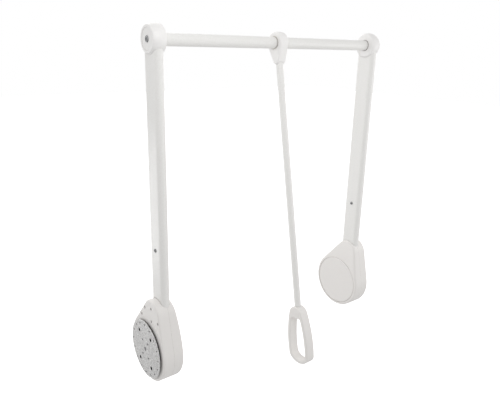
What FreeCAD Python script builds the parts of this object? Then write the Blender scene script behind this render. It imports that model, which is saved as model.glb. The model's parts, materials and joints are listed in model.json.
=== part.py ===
import FreeCAD, Part

import math
import os
import re

import Sketcher

# A pull down closet rod: a bar for clothes carried by two arms, which swing down on two plates
# screwed to the sides of a wardrobe. Springs in the arms help to lift it again.
# Millimetres. X runs from the left plate to the right one, Y to the back of the wardrobe, Z up.
# The origin is the middle of the left plate, on the face that lies against the wardrobe's side.

SIZES = {
    # the whole lift
    "overall_width": 730.0,
    "bar_height": 720.0,
    "pivot_setback": 24.0,
    "arm_plane": 34.5,
    "rod_lean": 10.5,
    "seat_clearance": 0.05,
    "running_clearance": 0.05,
    # base plates
    "plate_radius": 73.0,
    "plate_thickness": 2.0,
    "plate_edge_round": 0.8,
    "plate_rim_radius": 66.0,
    "plate_rim_depth": 11.0,
    "plate_rim_wall": 2.5,
    "fixing_spacing_depth": 58.0,
    "fixing_spacing_height": 78.0,
    "fixing_hole_radius": 4.6,
    "dimple_circle_radius": 65.0,
    "dimple_radius": 2.1,
    "dimple_depth": 1.5,
    "dimple_count": 16,
    # pivot pins, washers and nuts
    "pin_radius": 7.0,
    "pin_neck_radius": 5.0,
    "pin_inset": 0.8,
    "pin_chamfer": 1.0,
    "pin_thread_length": 7.4,
    "washer_radius": 10.0,
    "washer_thickness": 1.5,
    "nut_width": 16.0,
    "nut_height": 5.0,
    # pinions
    "gear_teeth": 24,
    "gear_start": 26.5,
    "gear_width": 16.0,
    "gear_backlash": 0.15,
    "gear_root_depth": 1.25,
    "gear_tip_height": 0.95,
    "pressure_angle": 20.0,
    "pinion_hub_radius": 19.0,
    "pinion_flange_radius": 32.0,
    "pinion_flange_thickness": 3.0,
    "stud_circle_radius": 24.0,
    "stud_radius": 2.5,
    # housings
    "housing_radius": 83.0,
    "housing_outer_face": 6.5,
    "housing_inner_face": 61.0,
    "housing_outer_round": 4.0,
    "housing_inner_round": 6.0,
    "housing_split_round": 0.5,
    "housing_wall": 4.0,
    "lip_height": 101.0,
    "lip_wall": 9.0,
    "taper_start": 25.0,
    "taper_drop": 12.0,
    "plate_opening_gap": 1.2,
    "ledge_radius": 55.0,
    "ledge_thickness": 3.0,
    "glide_ring_thickness": 1.4,
    "glide_ring_gap": 0.1,
    "glide_ring_margin": 1.0,
    "floor_start": 46.0,
    "floor_thickness": 3.5,
    "boss_radius": 16.0,
    # covers
    "cap_radius": 73.0,
    "cap_thickness": 2.5,
    "cap_gap": 1.4,
    "cap_seat_width": 3.4,
    "cap_edge_round": 1.5,
    "cap_skirt_depth": 5.0,
    "cap_skirt_wall": 1.6,
    # bushes between pin and housing
    "bush_wall": 2.5,
    "bush_flange_radius": 13.0,
    "bush_flange_thickness": 1.5,
    # screws that join the housing halves
    "shell_screw_radius": 1.9,
    "shell_screw_head_radius": 3.4,
    "shell_screw_recess": 3.8,
    "shell_screw_inset": 2.0,
    "shell_screw_length": 32.0,
    "shell_screw_end_gap": 1.0,
    "arm_screw_length": 14.5,
    "arm_screw_upper": 117.0,
    "arm_screw_lower": 84.0,
    "upper_screw_gap": 4.0,
    "upper_screw_height": 108.0,
    "rear_screw_gap": 22.0,
    "rear_screw_height": 83.0,
    "front_screw_gap": 5.0,
    "front_screw_height": 93.0,
    # arms
    "arm_depth": 56.0,
    "arm_width": 22.0,
    "arm_wall": 1.6,
    "arm_bottom": 62.0,
    "arm_clearance": 0.15,
    # what the springs push on
    "cross_screw_height": 261.0,
    "cross_screw_radius": 2.0,
    "cross_screw_length": 8.0,
    "cross_screw_head_radius": 4.2,
    "cross_screw_head_height": 2.2,
    "abutment_height": 22.0,
    "slide_clearance": 0.2,
    "seat_bottom": 118.0,
    "seat_height": 12.0,
    "seat_slot_depth": 6.0,
    "spring_wire_width": 3.4,
    "spring_wire_height": 2.6,
    "spring_radius": 8.6,
    "spring_turns": 11,
    "spring_pair_spacing": 26.0,
    # racks and their guides
    "rack_start": 27.0,
    "rack_width": 15.0,
    "rack_back": 8.0,
    "rack_bottom": 60.0,
    "rack_shoulder_height": 10.5,
    "rack_teeth_below": 9,
    "guide_depth": 11.0,
    "guide_top": 25.0,
    "guide_bottom": 15.0,
    # bar
    "bar_radius": 13.5,
    "bar_wall": 1.5,
    "bar_end": 25.0,
    "plug_length": 26.0,
    # knuckles at the top of the arms
    "knuckle_radius": 33.0,
    "knuckle_bulge": 2.0,
    "knuckle_width": 31.0,
    "knuckle_outer_round": 2.0,
    "knuckle_inner_round": 6.0,
    "knuckle_face_radius": 23.0,
    "knuckle_face_depth": 0.8,
    "knuckle_recess_radius": 14.8,
    "knuckle_recess_depth": 2.0,
    "knuckle_screw_radius": 2.4,
    "knuckle_screw_head_radius": 5.5,
    "knuckle_screw_head_height": 2.6,
    "knuckle_screw_length": 24.0,
    # collar on the bar
    "collar_radius": 25.5,
    "collar_width": 25.0,
    "collar_nose_radius": 11.0,
    "collar_nose_drop": 39.0,
    "collar_round": 4.0,
    "collar_socket_depth": 16.0,
    "liner_wall": 2.0,
    "liner_width": 23.0,
    # pull rod and handle
    "rod_radius": 8.5,
    "rod_wall": 1.5,
    "handle_thickness": 26.0,
    "handle_band": 10.5,
    "handle_round": 3.0,
    "handle_crown_radius": 23.0,
    "handle_crown_drop": 686.5,
    "handle_side_radius": 300.0,
    "handle_corner_radius": 20.0,
    "handle_corner_reach": 15.6,
    "handle_corner_drop": 794.0,
    "handle_foot_radius": 43.0,
    "handle_socket_depth": 22.0,
    "loop_top_drop": 694.5,
    "loop_corner_radius": 5.0,
}

FULL_TURN = 360.0
HEX_CORNERS = 6
FLANK_STEPS = 4
ROOT_OVERLAP = 0.2
SAME_PLACE = 1e-3

# how a sketch counts a shape's own points, and its two axes
START = 1
END = 2
CENTRE = 3
ALONG_AXIS = -1
UP_AXIS = -2
ORIGIN = (-1, 1)
AXIS_Z = FreeCAD.Vector(0, 0, 1)
AXIS_X = FreeCAD.Vector(1, 0, 0)

doc = FreeCAD.newDocument("pull_down_closet_rod")
sheet = doc.addObject("Spreadsheet::Sheet", "Sizes")


def fill_sheet():
    """Each size gets a row: its name, and its value under that name as alias."""
    for row, (name, size) in enumerate(SIZES.items(), start=1):
        sheet.set(f"A{row}", name)
        sheet.set(f"B{row}", str(size))
        sheet.setAlias(f"B{row}", name)
    doc.recompute()


def from_sheet(text):
    """The expression in which every size's own name is read from the sheet."""
    return re.sub(r"[a-z_]+", lambda word: "Sizes." + word[0] if word[0] in SIZES else word[0], text)


def value(text):
    """What an expression of sizes comes to, for a drawing's first guess."""
    return float(sheet.evalExpression(from_sheet(text)))


def bind(thing, prop, text):
    thing.setExpression(prop, from_sheet(text))


class Side:
    """One end of the lift. Its places are counted inwards from its own mounting plane."""

    def __init__(self, name, inward, plane):
        self.name = name
        self.inward = inward
        self.plane = plane

    def across(self, text):
        return f"{self.inward} * ({text})"


LEFT = Side("left", 1, "0")
RIGHT = Side("right", -1, "overall_width")
MIDDLE = Side("middle", 1, "overall_width / 2")

nodes = []


def new_body(label, side, back="0", up="0"):
    """A body whose own origin is on its side's mounting plane, at a stated place back and up."""
    body = doc.addObject("PartDesign::Body", "Body")
    body.Label = label
    bind(body, ".Placement.Base.x", side.plane)
    bind(body, ".Placement.Base.y", back)
    bind(body, ".Placement.Base.z", up)
    nodes.append(body)
    return body


def origin_part(body, role):
    return [part for part in body.Origin.OriginFeatures if part.Role == role][0]


class Drawing:
    """A sketch on one of a body's own planes, with its points and radii tied to the sheet."""

    def __init__(self, body, role, offset="0"):
        self.sketch = body.newObject("Sketcher::SketchObject", "Sketch")
        self.sketch.AttachmentSupport = [(origin_part(body, role), "")]
        self.sketch.MapMode = "FlatFace"
        bind(self.sketch, ".AttachmentOffset.Base.z", offset)
        self.sizes = 0

    def add(self, shape):
        return self.sketch.addGeometry(shape, False)

    def join(self, kind, *ends):
        self.sketch.addConstraint(Sketcher.Constraint(kind, *ends))

    def size(self, kind, *ends, text):
        index = self.sketch.addConstraint(Sketcher.Constraint(kind, *ends, value(text)))
        self.sizes += 1
        name = f"size_{self.sizes}"
        self.sketch.renameConstraint(index, name)
        bind(self.sketch, f"Constraints.{name}", text)

    def locate(self, shape, end, place):
        for kind, text, axis in zip(("DistanceX", "DistanceY"), place, (UP_AXIS, ALONG_AXIS)):
            if text == "0":
                self.join("PointOnObject", shape, end, axis)
            else:
                self.size(kind, *ORIGIN, shape, end, text=text)

    def circle(self, place, radius):
        x, y = (value(text) for text in place)
        shape = self.add(Part.Circle(FreeCAD.Vector(x, y, 0), AXIS_Z, value(radius)))
        self.locate(shape, CENTRE, place)
        self.size("Radius", shape, text=radius)

    def polygon(self, places):
        corners = [FreeCAD.Vector(value(x), value(y), 0) for x, y in places]
        lines = [self.add(Part.LineSegment(*ends)) for ends in zip(corners, corners[1:] + corners[:1])]
        for line, following in zip(lines, lines[1:] + lines[:1]):
            self.join("Coincident", line, END, following, START)
        for line, place in zip(lines, places):
            self.locate(line, START, place)

    def chain(self, places):
        """Straight lines from place to place, joined but not closed."""
        points = [FreeCAD.Vector(value(x), value(y), 0) for x, y in places]
        lines = [self.add(Part.LineSegment(*ends)) for ends in zip(points, points[1:])]
        for line, following in zip(lines, lines[1:]):
            self.join("Coincident", line, END, following, START)
        return lines

    def arc(self, centre, radius, start, end):
        """An arc that runs against the clock from one place to the other."""
        middle, start, end = (
            FreeCAD.Vector(value(x), value(y), 0) for x, y in (centre, start, end)
        )
        angles = [math.atan2(point.y - middle.y, point.x - middle.x) for point in (start, end)]
        return self.add(Part.ArcOfCircle(Part.Circle(middle, AXIS_Z, value(radius)), *angles))

    def rectangle(self, low, high):
        self.polygon([(low[0], low[1]), (high[0], low[1]), (high[0], high[1]), (low[0], high[1])])

    def belt(self, first, first_radius, second, second_radius):
        """The outline of a band drawn tight round two circles."""
        start = FreeCAD.Vector(value(first[0]), value(first[1]), 0)
        end = FreeCAD.Vector(value(second[0]), value(second[1]), 0)
        along = end - start
        heading = math.atan2(along.y, along.x)
        half = math.acos((value(first_radius) - value(second_radius)) / along.Length)
        round_first = Part.ArcOfCircle(
            Part.Circle(start, AXIS_Z, value(first_radius)),
            heading + half,
            heading - half + math.tau,
        )
        round_second = Part.ArcOfCircle(
            Part.Circle(end, AXIS_Z, value(second_radius)),
            heading - half,
            heading + half,
        )
        there = Part.LineSegment(round_first.EndPoint, round_second.StartPoint)
        back = Part.LineSegment(round_second.EndPoint, round_first.StartPoint)
        chain = [self.add(shape) for shape in (round_first, there, round_second, back)]
        for shape, following in zip(chain, chain[1:] + chain[:1]):
            self.join("Tangent", shape, END, following, START)
        self.locate(chain[0], CENTRE, first)
        self.locate(chain[2], CENTRE, second)
        self.size("Radius", chain[0], text=first_radius)
        self.size("Radius", chain[2], text=second_radius)


def pad(body, drawing, length, reverse=False):
    feature = body.newObject("PartDesign::Pad", "Pad")
    feature.Profile = drawing.sketch
    bind(feature, "Length", length)
    feature.Reversed = reverse
    return feature


def pocket(body, drawing, length, reverse=False):
    """A cut, which has to take something away."""
    doc.recompute()
    before = body.Shape.Volume
    feature = body.newObject("PartDesign::Pocket", "Pocket")
    feature.Profile = drawing.sketch
    bind(feature, "Length", length)
    feature.Reversed = reverse
    doc.recompute()
    if not body.Shape.Volume < before:
        raise RuntimeError(f"{body.Label}: {feature.Name} cuts nothing")
    return feature


def side_drawing(body, side, start):
    """A drawing in Y and Z, a stated distance inwards from the mounting plane."""
    return Drawing(body, "YZ_Plane", side.across(start))


def pad_inwards(body, side, drawing, length):
    return pad(body, drawing, length, reverse=side.inward < 0)


def cut_inwards(body, side, drawing, length):
    return pocket(body, drawing, length, reverse=side.inward > 0)


def round_cut(body, side, start, length, radius, place=("0", "0")):
    drawing = side_drawing(body, side, start)
    drawing.circle(place, radius)
    return cut_inwards(body, side, drawing, length)


def turn(body, side, profile):
    """A turned piece about the body's own X axis, from places given as inward and radius."""
    drawing = Drawing(body, "XY_Plane")
    drawing.polygon([(side.across(inward), radius) for inward, radius in profile])
    feature = body.newObject("PartDesign::Revolution", "Revolution")
    feature.Profile = drawing.sketch
    feature.ReferenceAxis = (drawing.sketch, ["H_Axis"])
    feature.Angle = FULL_TURN
    doc.recompute()
    return feature


def turn_ball(body, side, low, high, centre, radius):
    """A ball about the body's own X axis, cut off flat at two stated places."""
    first, last = sorted((side.across(low), side.across(high)), key=value)
    middle = side.across(centre)
    drawing = Drawing(body, "XY_Plane")
    over_first = f"sqrt({radius} ^ 2 - ({middle} - {first}) ^ 2)"
    over_last = f"sqrt({radius} ^ 2 - ({middle} - {last}) ^ 2)"
    crown = drawing.arc((middle, "0"), radius, (last, over_last), (first, over_first))
    corners = [(first, over_first), (first, "0"), (last, "0"), (last, over_last)]
    down, along, up = drawing.chain(corners)
    drawing.join("Coincident", crown, END, down, START)
    drawing.join("Coincident", up, END, crown, START)
    drawing.join("Vertical", down)
    drawing.join("Vertical", up)
    drawing.locate(crown, CENTRE, (middle, "0"))
    drawing.locate(along, START, (first, "0"))
    drawing.locate(along, END, (last, "0"))
    drawing.size("Radius", crown, text=radius)
    feature = body.newObject("PartDesign::Revolution", "Revolution")
    feature.Profile = drawing.sketch
    feature.ReferenceAxis = (drawing.sketch, ["H_Axis"])
    feature.Angle = FULL_TURN
    doc.recompute()
    return feature


def round_edges(body, radius, chosen):
    """Rounds those edges of the body that the test picks."""
    doc.recompute()
    base = body.Tip
    names = [f"Edge{n}" for n, edge in enumerate(base.Shape.Edges, start=1) if chosen(edge)]
    if not names:
        raise RuntimeError(f"{body.Label}: no edge to round")
    feature = body.newObject("PartDesign::Fillet", "Fillet")
    feature.Base = (base, names)
    bind(feature, "Radius", radius)
    doc.recompute()
    return feature


def repeat_round(body, feature, count):
    """Copies of a feature all the way round the body's own X axis."""
    pattern = body.newObject("PartDesign::PolarPattern", "PolarPattern")
    pattern.Originals = [feature]
    pattern.Axis = (origin_part(body, "X_Axis"), [""])
    pattern.Angle = FULL_TURN
    bind(pattern, "Occurrences", count)
    body.Tip = pattern
    doc.recompute()
    return pattern


def edge_lies_at(edge, axis, place):
    box = edge.BoundBox
    low, high = {"x": (box.XMin, box.XMax), "z": (box.ZMin, box.ZMax)}[axis]
    return abs(low - place) < SAME_PLACE and abs(high - place) < SAME_PLACE


# ---- sizes that more than one piece reads ----

GEAR_PITCH = "(2 * pi * pivot_setback / gear_teeth)"
GEAR_MODULE = "(2 * pivot_setback / gear_teeth)"
ROOT_LINE = f"(pivot_setback + gear_root_depth * {GEAR_MODULE})"
FIXING_DIAGONAL = "sqrt(fixing_spacing_depth ^ 2 + fixing_spacing_height ^ 2)"
STUD_BACK = f"(stud_circle_radius * fixing_spacing_depth / {FIXING_DIAGONAL})"
STUD_UP = f"(stud_circle_radius * fixing_spacing_height / {FIXING_DIAGONAL})"
GEAR_END = "(gear_start + gear_width)"
BOSS_START = f"({GEAR_END} + running_clearance + bush_flange_thickness)"
PIN_SHOULDER = "(floor_start + floor_thickness + running_clearance)"
BUSH_RADIUS = "(pin_radius + running_clearance + bush_wall)"
LEDGE_START = "(plate_rim_depth + glide_ring_gap + glide_ring_thickness)"
CAVITY_RADIUS = "(housing_radius - housing_wall)"
CAP_START = "(housing_inner_face - cap_thickness)"
CAP_SEAT_RADIUS = "(cap_radius + cap_gap - cap_seat_width)"
OPENING_RADIUS = "(plate_rim_radius + plate_opening_gap)"
SCREW_SEAT = "(housing_outer_face + shell_screw_recess)"
ARM_BACK = "-pivot_setback"
LIP_RADIUS = "(arm_depth / 2 + lip_wall)"
LIP_TOP = f"(lip_height + {LIP_RADIUS})"
COLLAR_TIP = "(collar_nose_drop + collar_nose_radius)"
HANDLE_TOP = "(handle_crown_drop - handle_crown_radius)"
FOUR_WAYS = [("", ""), ("-", ""), ("", "-"), ("-", "-")]


def fixing_places():
    return [
        (f"{back}fixing_spacing_depth / 2", f"{up}fixing_spacing_height / 2")
        for back, up in FOUR_WAYS
    ]


def stud_places():
    return [(f"{back}{STUD_BACK}", f"{up}{STUD_UP}") for back, up in FOUR_WAYS]


ARM_SCREWS = [(ARM_BACK, "arm_screw_upper"), (ARM_BACK, "arm_screw_lower")]
SHELL_SCREWS = [
    ("-pivot_setback + arm_depth / 2 + upper_screw_gap", "upper_screw_height"),
    ("-pivot_setback + arm_depth / 2 + rear_screw_gap", "rear_screw_height"),
    ("-pivot_setback - arm_depth / 2 - front_screw_gap", "front_screw_height"),
]


# ---- base plates, pinions and pivots, which stay with the wardrobe ----


def base_plate(side):
    """A steel disc that lies on the wardrobe, with a low rim behind it that the housing runs on."""
    body = new_body(f"{side.name}_base_plate", side)
    turn(body, side, [
        ("0", "pin_neck_radius + seat_clearance"),
        ("0", "plate_radius"),
        ("plate_thickness", "plate_radius"),
        ("plate_thickness", "plate_rim_radius"),
        ("plate_rim_depth", "plate_rim_radius"),
        ("plate_rim_depth", "plate_rim_radius - plate_rim_wall"),
        ("plate_thickness", "plate_rim_radius - plate_rim_wall"),
        ("plate_thickness", "pin_neck_radius + seat_clearance"),
    ])
    rim = value("plate_radius")
    round_edges(body, "plate_edge_round",
                lambda edge: edge_lies_at(edge, "x", 0) and edge.BoundBox.ZMax > rim - SAME_PLACE)
    holes = side_drawing(body, side, "0")
    for place in fixing_places():
        holes.circle(place, "fixing_hole_radius")
    for place in stud_places():
        holes.circle(place, "stud_radius + seat_clearance")
    cut_inwards(body, side, holes, "plate_thickness")
    dimple = round_cut(body, side, "0", "dimple_depth", "dimple_radius", ("dimple_circle_radius", "0"))
    repeat_round(body, dimple, "dimple_count")


def involute(radius, base_radius):
    """How far round an involute has turned where it reaches a radius."""
    slope = math.acos(min(1.0, base_radius / radius))
    return math.tan(slope) - slope


def tooth_outline(pitch_radius, module, width_angle, pressure):
    """Corners of one gear tooth that points along +Y, up one flank and down the other."""
    base_radius = pitch_radius * math.cos(pressure)
    root_radius = pitch_radius - value("gear_root_depth") * module
    tip_radius = pitch_radius + value("gear_tip_height") * module
    step = (tip_radius - base_radius) / FLANK_STEPS
    flank = [base_radius + step * n for n in range(FLANK_STEPS + 1)]
    at_pitch = involute(pitch_radius, base_radius)
    up = [(root_radius - ROOT_OVERLAP * module, width_angle + at_pitch)]
    up += [(radius, width_angle + at_pitch - involute(radius, base_radius)) for radius in flank]
    down = [(radius, -angle) for radius, angle in reversed(up)]
    return [FreeCAD.Vector(0, r * math.cos(a), r * math.sin(a)) for r, a in up + down]


def pinion(side):
    """A cast pinion on a flange, fixed to its plate by four studs that are peened over."""
    pitch_radius = value("pivot_setback")
    module = value(GEAR_MODULE)
    teeth = int(value("gear_teeth"))
    start = value("gear_start")
    width = value("gear_width")
    plate = value("plate_thickness")
    flange = value("pinion_flange_thickness")
    pressure = math.radians(value("pressure_angle"))
    width_angle = math.pi / (2 * teeth) - value("gear_backlash") / (2 * pitch_radius)
    outline = tooth_outline(pitch_radius, module, width_angle, pressure)
    face = Part.Face(Part.makePolygon(outline + outline[:1]))
    tooth = face.extrude(AXIS_X * width)
    tooth.translate(AXIS_X * start)
    at = FreeCAD.Vector()

    def drum(radius, low, high):
        return Part.makeCylinder(radius, high - low, AXIS_X * low, AXIS_X)

    solid = drum(value("pinion_flange_radius"), plate, plate + flange)
    solid = solid.fuse(drum(value("pinion_hub_radius"), plate, start))
    solid = solid.fuse(drum(pitch_radius - value("gear_root_depth") * module, start, start + width))
    copies = []
    for n in range(teeth):
        copy = tooth.copy()
        copy.rotate(at, AXIS_X, n * FULL_TURN / teeth)
        copies.append(copy)
    solid = solid.fuse(copies)
    for back, up in stud_places():
        low = value("pin_inset")
        foot = FreeCAD.Vector(low, value(back), value(up))
        solid = solid.fuse(Part.makeCylinder(value("stud_radius"), plate - low, foot, AXIS_X))
    bore = value("pin_radius + seat_clearance")
    solid = solid.cut(drum(bore, 0, start + width)).removeSplitter()
    if side.inward < 0:
        solid.rotate(at, AXIS_Z, FULL_TURN / 2)
    feature = doc.addObject("Part::Feature", "Pinion")
    feature.Label = f"{side.name}_pinion"
    feature.Shape = solid
    bind(feature, ".Placement.Base.x", side.plane)
    nodes.append(feature)


def pivot_pin(side):
    body = new_body(f"{side.name}_pivot_pin", side)
    turn(body, side, [
        ("pin_inset", "0"),
        ("pin_inset", "pin_neck_radius"),
        ("plate_thickness", "pin_neck_radius"),
        ("plate_thickness", "pin_radius"),
        (PIN_SHOULDER, "pin_radius"),
        (PIN_SHOULDER, "pin_neck_radius"),
        (f"{PIN_SHOULDER} + pin_thread_length - pin_chamfer", "pin_neck_radius"),
        (f"{PIN_SHOULDER} + pin_thread_length", "pin_neck_radius - pin_chamfer"),
        (f"{PIN_SHOULDER} + pin_thread_length", "0"),
    ])


def pivot_washer(side):
    body = new_body(f"{side.name}_pivot_washer", side)
    turn(body, side, [
        (PIN_SHOULDER, "pin_neck_radius + seat_clearance"),
        (PIN_SHOULDER, "washer_radius"),
        (f"{PIN_SHOULDER} + washer_thickness", "washer_radius"),
        (f"{PIN_SHOULDER} + washer_thickness", "pin_neck_radius + seat_clearance"),
    ])


def pivot_nut(side):
    body = new_body(f"{side.name}_pivot_nut", side)
    drawing = side_drawing(body, side, f"{PIN_SHOULDER} + washer_thickness")
    half_side = FULL_TURN / (2 * HEX_CORNERS)
    corner = f"nut_width / (2 * cos({half_side}))"
    turns = [n * FULL_TURN / HEX_CORNERS + half_side for n in range(HEX_CORNERS)]
    drawing.polygon([(f"{corner} * cos({a})", f"{corner} * sin({a})") for a in turns])
    drawing.circle(("0", "0"), "pin_neck_radius + seat_clearance")
    pad_inwards(body, side, drawing, "nut_height")


# ---- housings, which turn on the pivots with the arms ----


def housing_half(label, side, face, depth):
    """One half of a housing, from the face stated inwards. Both halves have one outline."""
    body = new_body(label, side)
    outline = side_drawing(body, side, face)
    outline.belt(("0", "0"), "housing_radius", (ARM_BACK, "lip_height"), LIP_RADIUS)
    pad_inwards(body, side, outline, depth)
    return body


def taper_to_lip(body, side):
    """Draws the inner face in towards the arm by a long arc that leaves the face smoothly."""
    rise = f"({LIP_TOP} + housing_inner_round - taper_start)"
    radius = f"(({rise} ^ 2 + taper_drop ^ 2) / (2 * taper_drop))"
    drawing = Drawing(body, "XZ_Plane", "-housing_radius")
    foot = side.across("housing_inner_face")
    outside = side.across("housing_inner_face + taper_drop")
    above = f"(taper_start + {rise})"
    drop = side.across("housing_inner_face - taper_drop")
    centre = (side.across(f"housing_inner_face - {radius}"), "taper_start")
    if side.inward > 0:
        arc = drawing.arc(centre, radius, (foot, "taper_start"), (drop, above))
        low, high = (arc, START), (arc, END)
    else:
        arc = drawing.arc(centre, radius, (drop, above), (foot, "taper_start"))
        low, high = (arc, END), (arc, START)
    drawing.locate(arc, CENTRE, centre)
    drawing.size("Radius", arc, text=radius)
    corners = [(foot, "taper_start"), (outside, "taper_start"), (outside, above), (drop, above)]
    below, beside, across = drawing.chain(corners)
    drawing.join("Coincident", below, START, *low)
    drawing.join("Coincident", across, END, *high)
    drawing.locate(beside, START, (outside, "taper_start"))
    drawing.locate(beside, END, (outside, above))
    drawing.join("Horizontal", below)
    drawing.join("Horizontal", across)
    pocket(body, drawing, "housing_radius + housing_radius", reverse=True)


def leaves_both_ways(edge):
    return edge.BoundBox.YLength > SAME_PLACE and edge.BoundBox.ZLength > SAME_PLACE


def arm_socket(body, side):
    """The opening that takes the arm, from above the lip down to the arm's lower end."""
    drawing = Drawing(body, "XY_Plane", LIP_TOP)
    obround(drawing, side, "arm_depth + 2 * arm_clearance", "arm_width + 2 * arm_clearance")
    pocket(body, drawing, f"{LIP_TOP} - arm_bottom")


def obround(drawing, side, depth, width, back=ARM_BACK):
    """A flat oval across an arm, long from front to back."""
    reach = f"(({depth}) - ({width})) / 2"
    middle = side.across("arm_plane")
    drawing.belt(
        (middle, f"{back} - {reach}"),
        f"({width}) / 2",
        (middle, f"{back} + {reach}"),
        f"({width}) / 2",
    )


def screw_holes(body, side, places, start, length, radius):
    drawing = side_drawing(body, side, start)
    for place in places:
        drawing.circle(place, radius)
    cut_inwards(body, side, drawing, length)


def outer_shell(side):
    """The half of a housing that faces the wardrobe, with the opening for the base plate."""
    body = housing_half(f"{side.name}_outer_shell", side, "housing_outer_face",
                        "arm_plane - housing_outer_face")
    face = value(side.across("housing_outer_face"))
    split = value(side.across("arm_plane"))
    round_edges(body, "housing_outer_round", lambda edge: edge_lies_at(edge, "x", face))
    round_edges(body, "housing_split_round", lambda edge: edge_lies_at(edge, "x", split))
    round_cut(body, side, "housing_outer_face", f"{LEDGE_START} - housing_outer_face", OPENING_RADIUS)
    round_cut(body, side, LEDGE_START, "ledge_thickness", "ledge_radius")
    round_cut(body, side, f"{LEDGE_START} + ledge_thickness",
              f"arm_plane - {LEDGE_START} - ledge_thickness", CAVITY_RADIUS)
    groove = side_drawing(body, side, "housing_outer_face + housing_wall")
    groove.circle(("0", "0"), CAVITY_RADIUS)
    groove.circle(("0", "0"), f"{OPENING_RADIUS} + housing_wall")
    groove_depth = f"{LEDGE_START} + ledge_thickness - housing_outer_face - housing_wall"
    cut_inwards(body, side, groove, groove_depth)
    arm_socket(body, side)
    places = ARM_SCREWS + SHELL_SCREWS
    screw_holes(body, side, places, "housing_outer_face", "arm_plane - housing_outer_face",
                "shell_screw_radius + seat_clearance")
    screw_holes(body, side, places, "housing_outer_face", "shell_screw_recess",
                "shell_screw_head_radius + seat_clearance")


def inner_shell(side):
    """The half of a housing that faces the clothes, with the bearing and the cover's seat."""
    body = housing_half(f"{side.name}_inner_shell", side, "arm_plane", "housing_inner_face - arm_plane")
    split = value(side.across("arm_plane"))
    taper_to_lip(body, side)
    round_edges(body, "housing_inner_round",
                lambda edge: leaves_both_ways(edge) and not edge_lies_at(edge, "x", split))
    round_edges(body, "housing_split_round", lambda edge: edge_lies_at(edge, "x", split))
    round_cut(body, side, "arm_plane", "floor_start - arm_plane", CAVITY_RADIUS)
    round_cut(body, side, "floor_start + floor_thickness",
              f"{CAP_START} - floor_start - floor_thickness", CAP_SEAT_RADIUS)
    round_cut(body, side, CAP_START, "cap_thickness", "cap_radius + cap_gap")
    boss = side_drawing(body, side, BOSS_START)
    boss.circle(("0", "0"), "boss_radius")
    pad_inwards(body, side, boss, f"floor_start - {BOSS_START}")
    round_cut(body, side, BOSS_START, f"floor_start + floor_thickness - {BOSS_START}",
              f"{BUSH_RADIUS} + seat_clearance")
    arm_socket(body, side)
    screw_holes(body, side, SHELL_SCREWS, "arm_plane",
                f"{SCREW_SEAT} + shell_screw_length + shell_screw_end_gap - arm_plane",
                "shell_screw_radius + seat_clearance")


def cover_cap(side):
    """A round cover that snaps in over the nut. Its face is level with the housing's."""
    body = new_body(f"{side.name}_cover_cap", side)
    turn(body, side, [
        (CAP_START, "0"),
        (CAP_START, f"{CAP_SEAT_RADIUS} - cap_gap - cap_skirt_wall"),
        (f"{CAP_START} - cap_skirt_depth", f"{CAP_SEAT_RADIUS} - cap_gap - cap_skirt_wall"),
        (f"{CAP_START} - cap_skirt_depth", f"{CAP_SEAT_RADIUS} - cap_gap"),
        (CAP_START, f"{CAP_SEAT_RADIUS} - cap_gap"),
        (CAP_START, "cap_radius"),
        ("housing_inner_face", "cap_radius"),
        ("housing_inner_face", "0"),
    ])
    face = value(side.across("housing_inner_face"))
    round_edges(body, "cap_edge_round", lambda edge: edge_lies_at(edge, "x", face))


def pivot_bush(side):
    """A plain bearing with a flange that keeps the housing off the pinion."""
    body = new_body(f"{side.name}_pivot_bush", side)
    turn(body, side, [
        (f"{GEAR_END} + running_clearance", "pin_radius + running_clearance"),
        (f"{GEAR_END} + running_clearance", "bush_flange_radius"),
        (BOSS_START, "bush_flange_radius"),
        (BOSS_START, BUSH_RADIUS),
        ("floor_start + floor_thickness", BUSH_RADIUS),
        ("floor_start + floor_thickness", "pin_radius + running_clearance"),
    ])


def glide_ring(side):
    """A flat ring in the housing that runs on the end of the plate's rim."""
    body = new_body(f"{side.name}_glide_ring", side)
    drawing = side_drawing(body, side, f"{LEDGE_START} - glide_ring_thickness")
    drawing.circle(("0", "0"), "plate_rim_radius")
    drawing.circle(("0", "0"), "ledge_radius + glide_ring_margin")
    pad_inwards(body, side, drawing, "glide_ring_thickness")


def screws_in_shell(label, side, places, length):
    """Screws with round heads, sunk into the housing's face towards the wardrobe."""
    body = new_body(label, side)
    shanks = side_drawing(body, side, SCREW_SEAT)
    for place in places:
        shanks.circle(place, "shell_screw_radius")
    pad_inwards(body, side, shanks, length)
    heads = side_drawing(body, side, "housing_outer_face + shell_screw_inset")
    for place in places:
        heads.circle(place, "shell_screw_head_radius")
    pad_inwards(body, side, heads, "shell_screw_recess - shell_screw_inset")


def housing_screws(side):
    """Short ones fix the arm in the outer half, long ones draw the halves together."""
    screws_in_shell(f"{side.name}_arm_screws", side, ARM_SCREWS, "arm_screw_length")
    screws_in_shell(f"{side.name}_shell_screws", side, SHELL_SCREWS, "shell_screw_length")


# ---- arms and what is inside them ----


def arm_tube(side):
    """A flat oval steel tube. Its upper end is notched to sit under the bar."""
    body = new_body(f"{side.name}_arm_tube", side)
    drawing = Drawing(body, "XY_Plane", "arm_bottom")
    obround(drawing, side, "arm_depth", "arm_width")
    obround(drawing, side, "arm_depth - 2 * arm_wall", "arm_width - 2 * arm_wall")
    pad(body, drawing, "bar_height - arm_clearance - arm_bottom")
    notch = side_drawing(body, side, "0")
    notch.circle((ARM_BACK, "bar_height"), "bar_radius + arm_clearance")
    cut_inwards(body, side, notch, "2 * arm_plane")
    holes = side_drawing(body, side, "0")
    holes.circle((ARM_BACK, "cross_screw_height"), "cross_screw_radius + seat_clearance")
    cut_inwards(body, side, holes, "2 * arm_plane")
    screw_holes(body, side, ARM_SCREWS, "0", "arm_plane", "shell_screw_radius + seat_clearance")


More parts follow.
